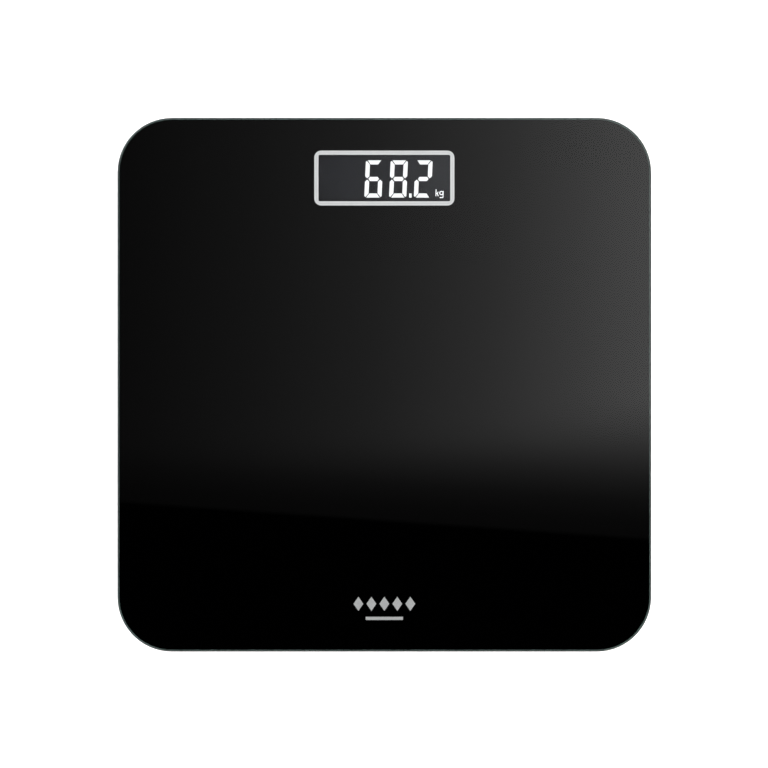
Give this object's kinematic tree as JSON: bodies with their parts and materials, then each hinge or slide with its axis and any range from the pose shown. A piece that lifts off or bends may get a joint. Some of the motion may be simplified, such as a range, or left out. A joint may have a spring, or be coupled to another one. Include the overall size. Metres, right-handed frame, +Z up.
{
  "type": "digital bathroom scale",
  "caption": "Slim square electronic bathroom scale: black glass platform with rounded corners, silver-framed lit display near one edge, and sensing feet under a set-back tray.",
  "frame": {"origin": "on the floor under the middle of the glass platform", "axes": "+Z up; +Y towards the display edge; +X to the right of a person reading the display"},
  "size_m": [0.3, 0.3, 0.022],
  "materials": {
    "platform_glass": "polished toughened glass",
    "black_enamel": "baked black enamel seen through the glass",
    "silver_ink": "metallic silver ink",
    "foam_tape": "closed-cell foam",
    "tray_plastic": "fine spark-eroded texture",
    "lcd_glass": "polished",
    "lcd_back": "dark display field",
    "lit_segment": "lit white",
    "light_guide": "frosted acrylic",
    "led_phosphor": "resin lens",
    "white_plastic": "moulded, satin",
    "conductive_rubber": "silicone",
    "board_laminate": "solder mask",
    "black_resin": "potting resin",
    "chip_ceramic": "fired ceramic",
    "solder": "reflowed tin",
    "screw_steel": "zinc plated",
    "switch_red": "moulded",
    "button_plastic": "moulded, satin",
    "cell_can": "nickel-plated can, satin",
    "contact_spring": "nickel-plated phosphor bronze",
    "white_silicone": "cured sealant",
    "cell_steel": "stamped, zinc plated",
    "cup_plastic": "moulded, satin",
    "pad_rubber": "moulded non-slip rubber",
    "wire_red": "insulated wire",
    "wire_black": "insulated wire",
    "wire_white": "insulated wire"
  },
  "bodies": {
    "platform": {"glass_platform": "platform_glass", "back_print": "black_enamel", "window_border": "silver_ink", "printed_mark": "silver_ink", "rim_tape": "foam_tape", "bracket_tapes": "foam_tape", "window_gasket": "foam_tape", "base_tray": "tray_plastic", "lcd_front_glass": "lcd_glass", "lcd_rear_glass": "lcd_back", "lcd_segments": "lit_segment", "backlight_guide": "light_guide", "backlight_leds": "led_phosphor", "lcd_holder": "white_plastic", "lcd_connector_strip": "conductive_rubber", "circuit_board": "board_laminate", "chip_cover": "black_resin", "board_capacitors": "chip_ceramic", "board_resistors": "black_resin", "solder_joints": "solder", "board_screws": "screw_steel", "bracket_screws": "screw_steel", "switch_body": "black_resin", "coin_cell": "cell_can", "battery_contact_positive": "contact_spring", "battery_contact_negative": "contact_spring", "gauge_seals": "white_silicone", "wires_red": "wire_red", "wires_black": "wire_black", "wires_white": "wire_white", "load_cell_bracket_fl": "white_plastic", "load_cell_fl": "cell_steel", "load_cell_bracket_fr": "white_plastic", "load_cell_fr": "cell_steel", "load_cell_bracket_rl": "white_plastic", "load_cell_rl": "cell_steel", "load_cell_bracket_rr": "white_plastic", "load_cell_rr": "cell_steel"},
    "foot_fl": {"foot_cup_fl": "cup_plastic", "foot_pad_fl": "pad_rubber"},
    "foot_fr": {"foot_cup_fr": "cup_plastic", "foot_pad_fr": "pad_rubber"},
    "foot_rl": {"foot_cup_rl": "cup_plastic", "foot_pad_rl": "pad_rubber"},
    "foot_rr": {"foot_cup_rr": "cup_plastic", "foot_pad_rr": "pad_rubber"},
    "unit_button": {"unit_button": "button_plastic", "switch_plunger": "switch_red"},
    "battery_door": {"battery_door": "tray_plastic"}
  },
  "joints": [
    {"name": "foot_fl_press", "type": "slide", "parent": "platform", "child": "foot_fl", "axis": [0, 0, 1], "range_m": [0, 0.0005], "stiffness_N_per_m": 2000, "springref_m": -0.0025, "deforming": ["load_cell_fl"]},
    {"name": "foot_fr_press", "type": "slide", "parent": "platform", "child": "foot_fr", "axis": [0, 0, 1], "range_m": [0, 0.0005], "stiffness_N_per_m": 2000, "springref_m": -0.0025, "deforming": ["load_cell_fr"]},
    {"name": "foot_rl_press", "type": "slide", "parent": "platform", "child": "foot_rl", "axis": [0, 0, 1], "range_m": [0, 0.0005], "stiffness_N_per_m": 2000, "springref_m": -0.0025, "deforming": ["load_cell_rl"]},
    {"name": "foot_rr_press", "type": "slide", "parent": "platform", "child": "foot_rr", "axis": [0, 0, 1], "range_m": [0, 0.0005], "stiffness_N_per_m": 2000, "springref_m": -0.0025, "deforming": ["load_cell_rr"]},
    {"name": "unit_button_press", "type": "slide", "parent": "platform", "child": "unit_button", "axis": [0, 0, 1], "range_m": [0, 0.0003], "stiffness_N_per_m": 5000, "springref_m": -0.0001},
    {"name": "battery_door_hinge", "type": "hinge", "parent": "platform", "child": "battery_door", "pos_m": [0, 0.0481, 0.0051], "axis": [-1, 0, 0], "range_deg": [0, 75]}
  ]
}
